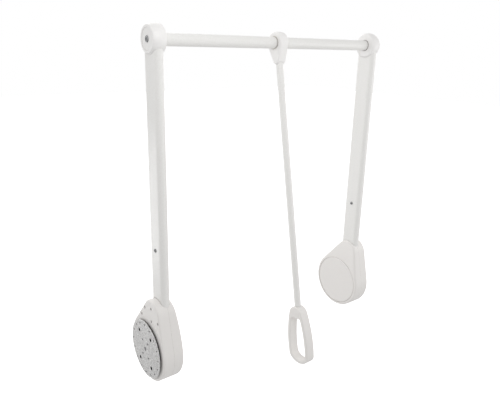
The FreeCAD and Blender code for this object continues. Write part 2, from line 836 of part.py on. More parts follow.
def spring_abutment(side):
    """The block that the springs push against, held in the arm by two screws."""
    body = new_body(f"{side.name}_spring_abutment", side)
    drawing = Drawing(body, "XY_Plane", "cross_screw_height - abutment_height / 2")
    inside = "2 * (arm_wall + slide_clearance)"
    obround(drawing, side, f"arm_depth - {inside}", f"arm_width - {inside}")
    pad(body, drawing, "abutment_height")
    hole = side_drawing(body, side, "0")
    hole.circle((ARM_BACK, "cross_screw_height"), "cross_screw_radius + seat_clearance")
    cut_inwards(body, side, hole, "2 * arm_plane")


def cross_screws(side):
    """A screw through each flat of the arm into the block behind it."""
    body = new_body(f"{side.name}_cross_screws", side)
    flats = (("-", "arm_plane - arm_width / 2"), ("", "arm_plane + arm_width / 2"))
    for outwards, flat in flats:
        head = side_drawing(body, side, flat)
        head.circle((ARM_BACK, "cross_screw_height"), "cross_screw_head_radius")
        away = side.inward > 0 if outwards else side.inward < 0
        pad(body, head, "cross_screw_head_height", reverse=away)
        shank = side_drawing(body, side, flat)
        shank.circle((ARM_BACK, "cross_screw_height"), "cross_screw_radius")
        pad(body, shank, "cross_screw_length", reverse=not away)


def spring(side):
    """A pair of compression springs of flat wire, between the rack's seat and the block above it."""
    length = "cross_screw_height - abutment_height / 2 - seat_bottom - seat_height - spring_wire_height"
    inside = value("spring_radius - spring_wire_width")
    outside = value("spring_radius")
    top = value("spring_wire_height")
    section = [
        FreeCAD.Vector(inside, 0, 0),
        FreeCAD.Vector(outside, 0, 0),
        FreeCAD.Vector(outside, 0, top),
        FreeCAD.Vector(inside, 0, top),
    ]
    coils = []
    for half in (-1, 1):
        helix = Part.makeHelix(value(f"({length}) / spring_turns"), value(length), outside)
        ring = Part.makePolygon(section + section[:1])
        coil = Part.Wire(helix.Edges).makePipeShell([ring], True, True)
        coil.translate(FreeCAD.Vector(
            value(side.across("arm_plane")),
            value(f"-pivot_setback + {half} * spring_pair_spacing / 2"),
            value("seat_bottom + seat_height"),
        ))
        coils.append(coil)
    feature = doc.addObject("Part::Feature", "Springs")
    feature.Label = f"{side.name}_springs"
    feature.Shape = Part.makeCompound(coils)
    bind(feature, ".Placement.Base.x", side.plane)
    nodes.append(feature)


def rack(side):
    """A steel rack on the pinion. Its stem runs up into the arm to push the springs."""
    body = new_body(f"{side.name}_rack", side)
    face = f"-(pivot_setback - {GEAR_MODULE})"
    root = f"-{ROOT_LINE}"
    back = f"-({ROOT_LINE} + rack_back)"
    outline = side_drawing(body, side, "rack_start")
    outline.polygon([
        (back, "-rack_bottom"),
        (face, "-rack_bottom"),
        (face, "rack_shoulder_height"),
        (root, "rack_shoulder_height"),
        (root, "seat_bottom + seat_slot_depth"),
        (back, "seat_bottom + seat_slot_depth"),
    ])
    pad_inwards(body, side, outline, "rack_width")
    slope = "tan(pressure_angle)"
    half = f"({GEAR_PITCH} / 4 + gear_backlash / 2)"
    wide = f"({half} + 2 * {GEAR_MODULE} * {slope})"
    narrow = f"({half} - gear_root_depth * {GEAR_MODULE} * {slope})"
    lowest = f"-rack_teeth_below * {GEAR_PITCH}"
    space = side_drawing(body, side, "rack_start")
    space.polygon([
        (root, f"{lowest} - {narrow}"),
        (f"{face} + {GEAR_MODULE}", f"{lowest} - {wide}"),
        (f"{face} + {GEAR_MODULE}", f"{lowest} + {wide}"),
        (root, f"{lowest} + {narrow}"),
    ])
    cut = cut_inwards(body, side, space, "rack_width")
    pattern = body.newObject("PartDesign::LinearPattern", "LinearPattern")
    pattern.Originals = [cut]
    pattern.Direction = (origin_part(body, "Z_Axis"), [""])
    bind(pattern, "Length", f"(rack_teeth_below + 1) * {GEAR_PITCH}")
    bind(pattern, "Occurrences", "rack_teeth_below + 2")
    body.Tip = pattern
    doc.recompute()


def rack_guide(side):
    """A plastic shoe behind the rack, which keeps it on the pinion."""
    body = new_body(f"{side.name}_rack_guide", side)
    back = f"({ROOT_LINE} + rack_back + running_clearance)"
    outline = side_drawing(body, side, "rack_start")
    outline.rectangle((f"-{back} - guide_depth", "-guide_bottom"), (f"-{back}", "guide_top"))
    pad_inwards(body, side, outline, "floor_start - rack_start")


def spring_seat(side):
    """A plastic slide on top of the rack, which fills the arm and carries the springs."""
    body = new_body(f"{side.name}_spring_seat", side)
    drawing = Drawing(body, "XY_Plane", "seat_bottom")
    inside = "2 * (arm_wall + slide_clearance)"
    obround(drawing, side, f"arm_depth - {inside}", f"arm_width - {inside}")
    pad(body, drawing, "seat_height")
    slot = Drawing(body, "XY_Plane", "seat_bottom + seat_slot_depth")
    front = f"-({ROOT_LINE} + rack_back + seat_clearance)"
    rear = f"-({ROOT_LINE} - seat_clearance)"
    slot.rectangle(
        (side.across("rack_start - seat_clearance"), front),
        (side.across("rack_start + rack_width + seat_clearance"), rear),
    )
    pocket(body, slot, "seat_slot_depth")


# ---- bar and knuckles ----


def knuckle(side):
    """A moulded ball with flat sides, which caps the arm and takes the bar's end."""
    body = new_body(f"{side.name}_knuckle", side, ARM_BACK, "bar_height")
    low = "(arm_plane - knuckle_width / 2)"
    high = "(arm_plane + knuckle_width / 2)"
    turn_ball(body, side, low, high, "(arm_plane + knuckle_bulge)", "knuckle_radius")
    for radius, face in (("knuckle_outer_round", low), ("knuckle_inner_round", high)):
        place = value(side.across(face))
        round_edges(body, radius, lambda edge: edge_lies_at(edge, "x", place))
    drawing = Drawing(body, "XY_Plane")
    obround(drawing, side, "arm_depth + 2 * arm_clearance", "arm_width + 2 * arm_clearance", "0")
    pocket(body, drawing, "2 * knuckle_radius")
    round_cut(body, side, "bar_end - arm_clearance", f"{high} - bar_end + arm_clearance",
              "bar_radius + arm_clearance")
    round_cut(body, side, f"{high} - knuckle_recess_depth", "knuckle_recess_depth",
              "knuckle_recess_radius")
    round_cut(body, side, low, "knuckle_face_depth", "knuckle_face_radius")
    round_cut(body, side, low, "knuckle_face_depth + knuckle_screw_head_height",
              "knuckle_screw_head_radius + seat_clearance")
    round_cut(body, side, low, f"bar_end - {low}", "knuckle_screw_radius + seat_clearance")


def knuckle_screw(side):
    body = new_body(f"{side.name}_knuckle_screw", side, ARM_BACK, "bar_height")
    top = "arm_plane - knuckle_width / 2 + knuckle_face_depth"
    turn(body, side, [
        (top, "0"),
        (top, "knuckle_screw_head_radius"),
        (f"{top} + knuckle_screw_head_height", "knuckle_screw_head_radius"),
        (f"{top} + knuckle_screw_head_height", "knuckle_screw_radius"),
        (f"{top} + knuckle_screw_length", "knuckle_screw_radius"),
        (f"{top} + knuckle_screw_length", "0"),
    ])


def bar_plug(side):
    """A plug in the end of the bar, which the knuckle's screw bites into."""
    body = new_body(f"{side.name}_bar_plug", side, ARM_BACK, "bar_height")
    drawing = side_drawing(body, side, "bar_end")
    drawing.circle(("0", "0"), "bar_radius - bar_wall - seat_clearance")
    drawing.circle(("0", "0"), "knuckle_screw_radius + seat_clearance")
    pad_inwards(body, side, drawing, "plug_length")


def crossbar():
    body = new_body("crossbar", LEFT, ARM_BACK, "bar_height")
    drawing = side_drawing(body, LEFT, "bar_end")
    drawing.circle(("0", "0"), "bar_radius")
    drawing.circle(("0", "0"), "bar_radius - bar_wall")
    pad_inwards(body, LEFT, drawing, "overall_width - 2 * bar_end")


# ---- pull handle, which swings on the bar ----


def pull_body(label):
    """A body whose origin is on the bar's axis, and whose own Z runs up the leaning rod."""
    body = new_body(label, MIDDLE, ARM_BACK, "bar_height")
    body.Placement.Rotation = FreeCAD.Rotation(AXIS_X, -SIZES["rod_lean"])
    bind(body, ".Placement.Rotation.Angle", "-rod_lean")
    return body


def round_both_faces(body, half, radius):
    """Rounds the outline of a plate-like body's two faces."""
    faces = [-value(half), value(half)]
    round_edges(body, radius, lambda edge: any(edge_lies_at(edge, "x", face) for face in faces))


def collar():
    """A teardrop ring round the bar, with a socket for the rod in its tip."""
    body = pull_body("collar")
    half = "collar_width / 2"
    ring = Drawing(body, "YZ_Plane", f"-{half}")
    ring.belt(("0", "0"), "collar_radius", ("0", "-collar_nose_drop"), "collar_nose_radius")
    pad(body, ring, "collar_width")
    round_both_faces(body, half, "collar_round")
    bore = Drawing(body, "YZ_Plane", half)
    bore.circle(("0", "0"), "bar_radius + running_clearance + liner_wall + seat_clearance")
    pocket(body, bore, "collar_width")
    socket = Drawing(body, "XY_Plane", f"-{COLLAR_TIP} + collar_socket_depth")
    socket.circle(("0", "0"), "rod_radius + seat_clearance")
    pocket(body, socket, "collar_socket_depth")


def collar_liner():
    """A plastic sleeve in the collar, which slides on the bar."""
    body = pull_body("collar_liner")
    drawing = Drawing(body, "YZ_Plane", "-liner_width / 2")
    drawing.circle(("0", "0"), "bar_radius + running_clearance + liner_wall")
    drawing.circle(("0", "0"), "bar_radius + running_clearance")
    pad(body, drawing, "liner_width")


def pull_rod():
    body = pull_body("pull_rod")
    low = f"({HANDLE_TOP} + handle_socket_depth)"
    drawing = Drawing(body, "XY_Plane", f"-{low}")
    drawing.circle(("0", "0"), "rod_radius")
    drawing.circle(("0", "0"), "rod_radius - rod_wall")
    pad(body, drawing, f"{low} - {COLLAR_TIP} + collar_socket_depth")


def meet_of_circles(first, first_radius, second, second_radius):
    """The crossing of two circles that lies further along -X."""
    apart = second - first
    along = (first_radius ** 2 - second_radius ** 2 + apart.Length ** 2) / (2 * apart.Length)
    off = math.sqrt(first_radius ** 2 - along ** 2)
    direction = FreeCAD.Vector(apart).normalize()
    normal = FreeCAD.Vector(-direction.y, direction.x, 0)
    crossings = [first + direction * along + normal * sign * off for sign in (-1, 1)]
    return min(crossings, key=lambda point: point.x)


def where_arcs_touch(centre, radius, other):
    """Where an arc touches a smaller one inside it, on the line through both centres."""
    return centre + (other - centre).normalize() * radius


def handle_outline(drawing):
    """Half of the handle: a band of even width down one side, and the solid crown above it."""
    band = value("handle_band")
    crown_radius = value("handle_crown_radius")
    side_radius = value("handle_side_radius")
    corner_radius = value("handle_corner_radius")
    foot_radius = value("handle_foot_radius")
    top = value("loop_top_drop")
    fillet_radius = value("loop_corner_radius")
    crown = FreeCAD.Vector(0, -value("handle_crown_drop"), 0)
    corner = FreeCAD.Vector(value("handle_corner_reach"), -value("handle_corner_drop"), 0)
    foot = corner + FreeCAD.Vector(
        -corner.x,
        math.sqrt((foot_radius - corner_radius) ** 2 - corner.x ** 2),
        0,
    )
    side = meet_of_circles(crown, side_radius - crown_radius, corner, side_radius - corner_radius)
    fillet_up = -top - fillet_radius
    fillet_along = math.sqrt((side_radius - band - fillet_radius) ** 2 - (fillet_up - side.y) ** 2)
    fillet = FreeCAD.Vector(side.x + fillet_along, fillet_up, 0)
    flat_end = FreeCAD.Vector(fillet.x, -top, 0)

    def between(centre, radius, start, end):
        angles = [math.atan2(point.y - centre.y, point.x - centre.x) for point in (start, end)]
        return drawing.add(Part.ArcOfCircle(Part.Circle(centre, AXIS_Z, radius), *angles))

    def strip(inset):
        """The side, corner and foot of the band, at a distance in from its outline."""
        low = foot - FreeCAD.Vector(0, foot_radius - inset, 0)
        at_foot = where_arcs_touch(foot, foot_radius - inset, corner)
        at_corner = where_arcs_touch(side, side_radius - inset, corner)
        above = where_arcs_touch(side, side_radius - inset, fillet if inset else crown)
        return [
            between(foot, foot_radius - inset, low, at_foot),
            between(corner, corner_radius - inset, at_foot, at_corner),
            between(side, side_radius - inset, at_corner, above),
        ]

    outer = strip(0)
    crown_top = crown + FreeCAD.Vector(0, crown_radius, 0)
    crown_foot = where_arcs_touch(side, side_radius, crown)
    outer.append(between(crown, crown_radius, crown_foot, crown_top))
    inner = strip(band)
    fillet_foot = where_arcs_touch(side, side_radius - band, fillet)
    inner.append(between(fillet, fillet_radius, fillet_foot, flat_end))
    inner.append(drawing.add(Part.LineSegment(flat_end, FreeCAD.Vector(0, -top, 0))))
    upper = drawing.add(Part.LineSegment(FreeCAD.Vector(0, -top, 0), crown_top))
    outer_foot = foot - FreeCAD.Vector(0, foot_radius, 0)
    inner_foot = outer_foot + FreeCAD.Vector(0, band, 0)
    lower = drawing.add(Part.LineSegment(outer_foot, inner_foot))
    for run in (outer, inner):
        for shape, following in zip(run, run[1:]):
            drawing.join("Tangent", shape, END, following, START)
    drawing.join("Coincident", inner[-1], END, upper, START)
    drawing.join("Coincident", upper, END, outer[-1], END)
    drawing.join("Coincident", lower, START, outer[0], START)
    drawing.join("Coincident", lower, END, inner[0], START)
    drawing.join("PointOnObject", outer[-1], END, UP_AXIS)
    for run in (outer, inner):
        drawing.join("PointOnObject", run[0], START, UP_AXIS)
        drawing.join("PointOnObject", run[0], CENTRE, UP_AXIS)
        drawing.locate(run[1], CENTRE, ("handle_corner_reach", "-handle_corner_drop"))
    drawing.join("Horizontal", inner[2], CENTRE, outer[2], CENTRE)
    drawing.join("Horizontal", inner[-1])
    drawing.locate(outer[-1], CENTRE, ("0", "-handle_crown_drop"))
    drawing.locate(inner[-1], END, ("0", "-loop_top_drop"))
    radii = ["handle_foot_radius", "handle_corner_radius", "handle_side_radius"]
    for shape, radius in zip(outer, radii + ["handle_crown_radius"]):
        drawing.size("Radius", shape, text=radius)
    inner_radii = [f"{radius} - handle_band" for radius in radii] + ["loop_corner_radius"]
    for shape, radius in zip(inner, inner_radii):
        drawing.size("Radius", shape, text=radius)


def handle_grip():
    """A strap-like loop for the hand at the rod's lower end, the same on both sides of the rod."""
    body = pull_body("handle_grip")
    half = "handle_thickness / 2"
    outline = Drawing(body, "YZ_Plane", f"-{half}")
    handle_outline(outline)
    one_side = pad(body, outline, "handle_thickness")
    mirrored = body.newObject("PartDesign::Mirrored", "Mirrored")
    mirrored.Originals = [one_side]
    mirrored.MirrorPlane = (origin_part(body, "XZ_Plane"), [""])
    body.Tip = mirrored
    round_both_faces(body, half, "handle_round")
    socket = Drawing(body, "XY_Plane", f"-{HANDLE_TOP}")
    socket.circle(("0", "0"), "rod_radius + seat_clearance")
    pocket(body, socket, "handle_socket_depth")


def check_and_export():
    """Writes every node once all of them have come out whole."""
    doc.recompute()
    for part in doc.Objects:
        if "Invalid" in part.State or "Error" in part.State:
            raise RuntimeError(f"{part.Label} is {part.State}")
    os.makedirs("parts", exist_ok=True)
    for node in nodes:
        shape = node.Shape
        if shape.isNull() or not shape.isValid() or not shape.Solids:
            raise RuntimeError(f"{node.Label} has no sound solid")
        print(node.Label, len(shape.Solids), round(shape.Volume))
    for node in nodes:
        node.Shape.exportStep(f"parts/{node.Label}.step")


def build():
    fill_sheet()
    for side in (LEFT, RIGHT):
        base_plate(side)
        pinion(side)
        pivot_pin(side)
        pivot_washer(side)
        pivot_nut(side)
        outer_shell(side)
        inner_shell(side)
        cover_cap(side)
        pivot_bush(side)
        glide_ring(side)
        housing_screws(side)
        arm_tube(side)
        spring_abutment(side)
        cross_screws(side)
        spring(side)
        rack(side)
        rack_guide(side)
        spring_seat(side)
        knuckle(side)
        knuckle_screw(side)
        bar_plug(side)
    crossbar()
    collar()
    collar_liner()
    pull_rod()
    handle_grip()
    check_and_export()


build()
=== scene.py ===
# %% [markdown]
# # A pull down closet rod
# The object is a wardrobe lift: a bar on two arms, two round housings that turn on plates, and a
# rod with a handle. Every rigid piece comes from the CAD model, so this lesson brings it in,
# gives each piece its real finish, models the screws with their cross recesses, and then builds
# a small white studio round it.

# %% Load the CAD model
import json
import math

import bmesh
import bpy
from mathutils import Matrix, Vector


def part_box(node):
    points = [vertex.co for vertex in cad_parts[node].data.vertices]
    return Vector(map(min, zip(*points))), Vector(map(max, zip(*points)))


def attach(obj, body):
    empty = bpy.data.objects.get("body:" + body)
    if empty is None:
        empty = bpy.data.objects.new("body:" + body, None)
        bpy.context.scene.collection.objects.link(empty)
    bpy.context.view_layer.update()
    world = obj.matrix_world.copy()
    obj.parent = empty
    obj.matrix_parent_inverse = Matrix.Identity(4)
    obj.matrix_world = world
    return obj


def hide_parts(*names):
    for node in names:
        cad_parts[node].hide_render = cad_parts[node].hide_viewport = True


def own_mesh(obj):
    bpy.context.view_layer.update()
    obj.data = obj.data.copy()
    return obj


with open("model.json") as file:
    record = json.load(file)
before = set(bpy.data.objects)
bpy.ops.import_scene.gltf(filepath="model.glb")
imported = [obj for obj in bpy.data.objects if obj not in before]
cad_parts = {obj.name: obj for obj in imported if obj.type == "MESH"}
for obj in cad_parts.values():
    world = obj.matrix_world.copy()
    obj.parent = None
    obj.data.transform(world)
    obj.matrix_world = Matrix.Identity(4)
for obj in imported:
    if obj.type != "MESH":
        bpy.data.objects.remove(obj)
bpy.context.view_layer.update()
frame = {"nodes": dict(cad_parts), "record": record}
nodes = frame["nodes"]
MM = 0.001
print(len(nodes), "CAD pieces")

# %% [markdown]
# Finishes are written as sRGB hex values, as a paint shop or a web page gives them. Blender
# calculates in linear light, so one function turns a hex value into linear numbers.

# %% Colour
def linear(hex_value):
    """A colour such as "#F4F4F2" as the linear red, green, blue and alpha that shaders take."""
    parts = [int(hex_value[i:i + 2], 16) / 255 for i in (1, 3, 5)]
    return [c / 12.92 if c <= 0.04045 else ((c + 0.055) / 1.055) ** 2.4 for c in parts] + [1.0]


print("mid grey #808080 is", round(linear("#808080")[0], 3), "in linear light")

# %% [markdown]
# A material is a small tree of nodes. Adding one node with its settings and links is always the
# same handful of lines, so it becomes one function. Links are given by socket name, with the
# node and the name of its output.

# %% One function to add a node
def add(tree, kind, settings=None, inputs=None, links=None):
    """Adds a node, sets its properties and sockets, and links sockets to other nodes' outputs."""
    node = tree.nodes.new(kind)
    for name, value in (settings or {}).items():
        setattr(node, name, value)
    for name, value in (inputs or {}).items():
        node.inputs[name].default_value = value
    for name, (other, output) in (links or {}).items():
        tree.links.new(other.outputs[output], node.inputs[name])
    return node


def start_material(name, roughness, ior=None, metallic=0.0):
    """A new material with its shader, and the object's own coordinates to hang patterns on."""
    material = bpy.data.materials.new(name)
    material.use_nodes = True
    tree = material.node_tree
    tree.nodes.clear()
    constants = {"Roughness": roughness, "Metallic": metallic}
    if ior:
        constants["IOR"] = ior
    shader = add(tree, "ShaderNodeBsdfPrincipled", inputs=constants)
    add(tree, "ShaderNodeOutputMaterial", links={"Surface": (shader, "BSDF")})
    place = add(tree, "ShaderNodeTexCoord")
    return material, tree, shader, place


def grain_scale(grain_mm):
    """The scale at which a noise or cell pattern has grains of a real size in millimetres."""
    return 1 / (grain_mm * MM)


# %% [markdown]
# No real finish has one flat colour. Its tone wanders between two near ones with the grain of the
# surface. A pattern's value is stretched between two limits, and the share that comes out mixes
# the two tones. Noise spends nearly all its time between 0.3 and 0.7, so those limits suit it.

# %% A tone that wanders
NOISE_RANGE = (0.3, 0.7)
BLEND = {"data_type": "RGBA"}
MULTIPLY = {"data_type": "RGBA", "blend_type": "MULTIPLY"}


def two_tones(tree, pattern, low, high, start=0.0, end=1.0):
    """A colour that goes from low to high as the pattern's value goes from start to end."""
    share = add(
        tree,
        "ShaderNodeMapRange",
        inputs={"From Min": start, "From Max": end},
        links={"Value": pattern},
    )
    tones = {"A": linear(low), "B": linear(high)}
    return add(tree, "ShaderNodeMix", BLEND, tones, {"Factor": (share, "Result")})


# %% [markdown]
# Gaps and corners get painted shade. An ambient occlusion node measures how closed in each spot
# is, and the colour is multiplied by a painted shade that follows it. The reach is the width of
# gap that counts as closed.

# %% Painted shade in the corners
OPENNESS_RANGE = (0.3, 0.85)
OPENNESS_SAMPLES = 8


def colour_with_painted_corner_shade(tree, shader, colour, reach_mm, darkest):
    """Sends a colour to the shader, darkened by painted shade where the surface is closed in."""
    closed = add(
        tree,
        "ShaderNodeAmbientOcclusion",
        {"samples": OPENNESS_SAMPLES},
        {"Distance": reach_mm * MM},
    )
    shade = two_tones(tree, (closed, "AO"), darkest, "#FFFFFF", *OPENNESS_RANGE)
    links = {"A": colour, "B": (shade, "Result")}
    shaded = add(tree, "ShaderNodeMix", MULTIPLY, {"Factor": 1.0}, links)
    tree.links.new(shaded.outputs["Result"], shader.inputs["Base Color"])


# %% [markdown]
# **White powder coat** on the bar, the arms and the pull rod. Dry powder is sprayed on steel and
# baked, and flows out to a skin with a faint orange peel of about 3 mm between its crests. That
# skin has a satin shine, so the eye gets soft but clear highlights along each tube.

# %% Powder coated steel
PEEL_MM, PEEL_DEPTH_MM = 3, 0.03
# the reach of the painted shade in the paint's corners, in millimetres
POWDER_PAINTED_SHADE_MM = 7


def powder_coated_steel():
    """A satin paint skin over steel tube."""
    material, tree, shader, place = start_material(
        "powder_coated_steel_white", roughness=0.34, ior=1.5
    )
    peel = add(
        tree,
        "ShaderNodeTexNoise",
        inputs={"Scale": grain_scale(PEEL_MM), "Detail": 1.0},
        links={"Vector": (place, "Object")},
    )
    tone = two_tones(tree, (peel, "Fac"), "#EFEEEB", "#F3F2F0", *NOISE_RANGE)
    # painted shade in the corners, as where the arms go into the housings and knuckles
    colour_with_painted_corner_shade(tree, shader, (tone, "Result"), POWDER_PAINTED_SHADE_MM, "#B0AEAD")
    crests = add(
        tree,
        "ShaderNodeBump",
        inputs={"Distance": PEEL_DEPTH_MM * MM},
        links={"Height": (peel, "Fac")},
    )
    tree.links.new(crests.outputs["Normal"], shader.inputs["Normal"])
    return material


# %% [markdown]
# **White ABS**, injection moulded, for the housings, covers, knuckles, collar and handle. The
# steel mould is spark eroded, which leaves a fine matt grain of about half a millimetre, drawn
# here at 0.9 mm so that it shows. Grain breaks up the highlight, so it looks softer than paint.
# The knuckles and the collar come from another mould and batch, and are a little paler.

# %% Moulded ABS
MOULD_GRAIN_MM, MOULD_GRAIN_DEPTH_MM = 0.9, 0.012
# the reach of the painted shade in the plastic's gaps, in millimetres
PLASTIC_PAINTED_SHADE_MM = 1.5


def moulded_abs(name, darker, paler):
    """Matt white plastic, in a darker and a paler tone that its grain mixes."""
    material, tree, shader, place = start_material(name, roughness=0.42, ior=1.54)
    grain = add(
        tree,
        "ShaderNodeTexNoise",
        inputs={"Scale": grain_scale(MOULD_GRAIN_MM), "Detail": 2.0},
        links={"Vector": (place, "Object")},
    )
    tone = two_tones(tree, (grain, "Fac"), darker, paler, *NOISE_RANGE)
    # painted shade in the gaps and seams of the plastic
    colour_with_painted_corner_shade(tree, shader, (tone, "Result"), PLASTIC_PAINTED_SHADE_MM, "#D4D2D0")
    pits = add(
        tree,
        "ShaderNodeBump",
        inputs={"Distance": MOULD_GRAIN_DEPTH_MM * MM},
        links={"Height": (grain, "Fac")},
    )
    tree.links.new(pits.outputs["Normal"], shader.inputs["Normal"])
    return material


# %% [markdown]
# **Zinc plated steel** for the base plates and the fasteners. The zinc is a thin skin grown in a
# bath, whose tone differs from patch to patch over a few millimetres, with darker pin points
# between them. Cells give the patches a tone of their own, and fine noise gives the pin points.

# %% The look of zinc
PATCH_MM = 3.5
SPECK_MM = 1.8
SPECK_RANGE = (0.36, 0.48)
# the reach of the painted shade in the screws' recesses, in millimetres
FASTENER_PAINTED_SHADE_MM = 2.5


def zinc_skin(tree, place, palest, darkest):
    """Patches and pin points in one colour. The two ends of the patches' tones are given."""
    patches = add(
        tree,
        "ShaderNodeTexVoronoi",
        inputs={"Scale": grain_scale(PATCH_MM), "Randomness": 1.0},
        links={"Vector": (place, "Object")},
    )
    tone = two_tones(tree, (patches, "Color"), darkest, palest)
    specks = add(
        tree,
        "ShaderNodeTexNoise",
        inputs={"Scale": grain_scale(SPECK_MM), "Detail": 3.0, "Roughness": 0.7},
        links={"Vector": (place, "Object")},
    )
    points = two_tones(tree, (specks, "Fac"), "#7C7C7C", "#FFFFFF", *SPECK_RANGE)
    links = {"A": (tone, "Result"), "B": (points, "Result")}
    return add(tree, "ShaderNodeMix", MULTIPLY, {"Factor": 1.0}, links)


def zinc_plated_steel():
    """Screws, pins and nuts: bright, a little worn, with near black painted shade in the cross
    recesses.
    """
    material, tree, shader, place = start_material(
        "zinc_plated_steel", roughness=0.38, metallic=0.9
    )
    skin = zinc_skin(tree, place, "#A8A9AA", "#868788")
    # near black painted shade in the cross recesses
    colour_with_painted_corner_shade(tree, shader, (skin, "Result"), FASTENER_PAINTED_SHADE_MM, "#161617")
    return material


# %% [markdown]
# The base plates are pressed from sheet and hang in the zinc bath. The bottoms of their holes and
# marks, and the rim behind the disc, get painted shade. The wardrobe's sides are the planes that
# the plates lie on, and how deep a spot lies behind the nearer one tells face, mark and rim apart.
# A limit on the radius keeps the disc's rounded edge from counting as a mark.

# %% How deep a spot of the plate lies
EDGE_RADIUS = 71 * MM
# depths at which the painted shade of the marks, and of the rim behind, sets in
PAINTED_SHADE_MARK_DEPTHS = (0.03 * MM, 0.15 * MM)
PAINTED_SHADE_BACK_DEPTHS = (1.9 * MM, 2.4 * MM)


def depth_from_face(tree, spot):
    """How deep a spot lies behind the face of the plate that is nearer to it."""
    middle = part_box("right_base_plate")[1].x / 2
    across = add(
        tree, "ShaderNodeMath", {"operation": "SUBTRACT"}, {1: middle}, {0: (spot, "X")}
    )
    reach = add(tree, "ShaderNodeMath", {"operation": "ABSOLUTE"}, links={0: (across, "Value")})
    return add(
        tree, "ShaderNodeMath", {"operation": "SUBTRACT"}, {0: middle}, {1: (reach, "Value")}
    )


def within_edge(tree, spot):
    """1 inside the disc's rounded edge, and 0 on it."""
    flat = add(tree, "ShaderNodeCombineXYZ", links={"Y": (spot, "Y"), "Z": (spot, "Z")})
    radius = add(
        tree, "ShaderNodeVectorMath", {"operation": "LENGTH"}, links={0: (flat, "Vector")}
    )
    return add(
        tree,
        "ShaderNodeMath",
        {"operation": "LESS_THAN"},
        {1: EDGE_RADIUS},
        {0: (radius, "Value")},
    )


# %% [markdown]
# With the depth and the edge known, two painted shades are laid over the zinc: a dark one in the
# marks and holes of the front, and a lighter one on everything behind it.

# %% Zinc plated base plates
def zinc_plated_sheet():
    """Bright and speckled in front, with dark painted shade in the holes and marks, and lighter
    painted shade behind.
    """
    material, tree, shader, place = start_material(
        "zinc_plated_sheet", roughness=0.5, metallic=0.5
    )
    skin = zinc_skin(tree, place, "#EAE9E8", "#C4C3C2")
    spot = add(tree, "ShaderNodeSeparateXYZ", links={"Vector": (place, "Object")})
    depth = depth_from_face(tree, spot)
    # dark painted shade in the marks and holes of the front
    painted_shade_in_marks = two_tones(tree, (depth, "Value"), "#FFFFFF", "#303030", *PAINTED_SHADE_MARK_DEPTHS)
    front = add(
        tree,
        "ShaderNodeMix",
        BLEND,
        {"A": linear("#FFFFFF")},
        {"Factor": (within_edge(tree, spot), "Value"), "B": (painted_shade_in_marks, "Result")},
    )
    # lighter painted shade on everything behind the disc
    behind = two_tones(tree, (depth, "Value"), "#FFFFFF", "#BEBEBE", *PAINTED_SHADE_BACK_DEPTHS)
    with_painted_shade = (skin, "Result")
    for shade in (front, behind):
        links = {"A": with_painted_shade, "B": (shade, "Result")}
        with_painted_shade = (add(tree, "ShaderNodeMix", MULTIPLY, {"Factor": 1.0}, links), "Result")
    tree.links.new(with_painted_shade[0].outputs["Result"], shader.inputs["Base Color"])
    return material


# %% [markdown]
# **Acetal** for what slides: bushes, glide rings, rack guides, spring seats, plugs and the sleeve
# in the collar. It is a waxy, slightly creamy plastic, moulded smooth.

# %% Moulded acetal
CLOUD_MM = 6


def moulded_acetal():
    """A creamy plastic, with a faint cloud in it."""
    material, tree, shader, place = start_material(
        "moulded_acetal_natural", roughness=0.5, ior=1.48
    )
    cloud = add(
        tree,
        "ShaderNodeTexNoise",
        inputs={"Scale": grain_scale(CLOUD_MM)},
        links={"Vector": (place, "Object")},
    )
    tone = two_tones(tree, (cloud, "Fac"), "#DEDBD0", "#E6E3DA", *NOISE_RANGE)
    tree.links.new(tone.outputs["Result"], shader.inputs["Base Color"])
    return material


# %% [markdown]
# **Sintered steel** for the pinions and racks, pressed from powder and oiled: dark, matt and a
# little porous. Its pores are less than a tenth of a millimetre wide, and are drawn at 0.7 mm so
# that they show. **Spring steel** for the coils, drawn smooth and hardened in oil, which leaves
# it dark and nearly of one tone.

# %% Sintered steel and spring steel
PORE_MM, PORE_DEPTH_MM = 0.7, 0.02
PORE_RANGE = (0.35, 0.6)
DRAWING_MM = 2


def sintered_steel():
    """Pressed powder, dark with oil, with small pores."""
    material, tree, shader, place = start_material(
        "sintered_steel_oiled", roughness=0.55, metallic=1.0
    )
    pores = add(
        tree,
        "ShaderNodeTexNoise",
        inputs={"Scale": grain_scale(PORE_MM), "Detail": 2.0},
        links={"Vector": (place, "Object")},
    )
    tone = two_tones(tree, (pores, "Fac"), "#5E5E60", "#828284", *PORE_RANGE)
    tree.links.new(tone.outputs["Result"], shader.inputs["Base Color"])
    hollows = add(
        tree,
        "ShaderNodeBump",
        inputs={"Distance": PORE_DEPTH_MM * MM},
        links={"Height": (pores, "Fac")},
    )
    tree.links.new(hollows.outputs["Normal"], shader.inputs["Normal"])
    return material


def spring_steel():
    """Smooth drawn wire, dark from its hardening in oil."""
    material, tree, shader, place = start_material(
        "drawn_spring_steel", roughness=0.32, metallic=1.0
    )
    draw = add(
        tree,
        "ShaderNodeTexNoise",
        inputs={"Scale": grain_scale(DRAWING_MM)},
        links={"Vector": (place, "Object")},
    )
    tone = two_tones(tree, (draw, "Fac"), "#6A6A6E", "#86868A", *NOISE_RANGE)
    tree.links.new(tone.outputs["Result"], shader.inputs["Base Color"])
    return material


# %% [markdown]
# The CAD record names a material slot for every piece. Each slot gets its finish once, and every
# node of the slot takes it.

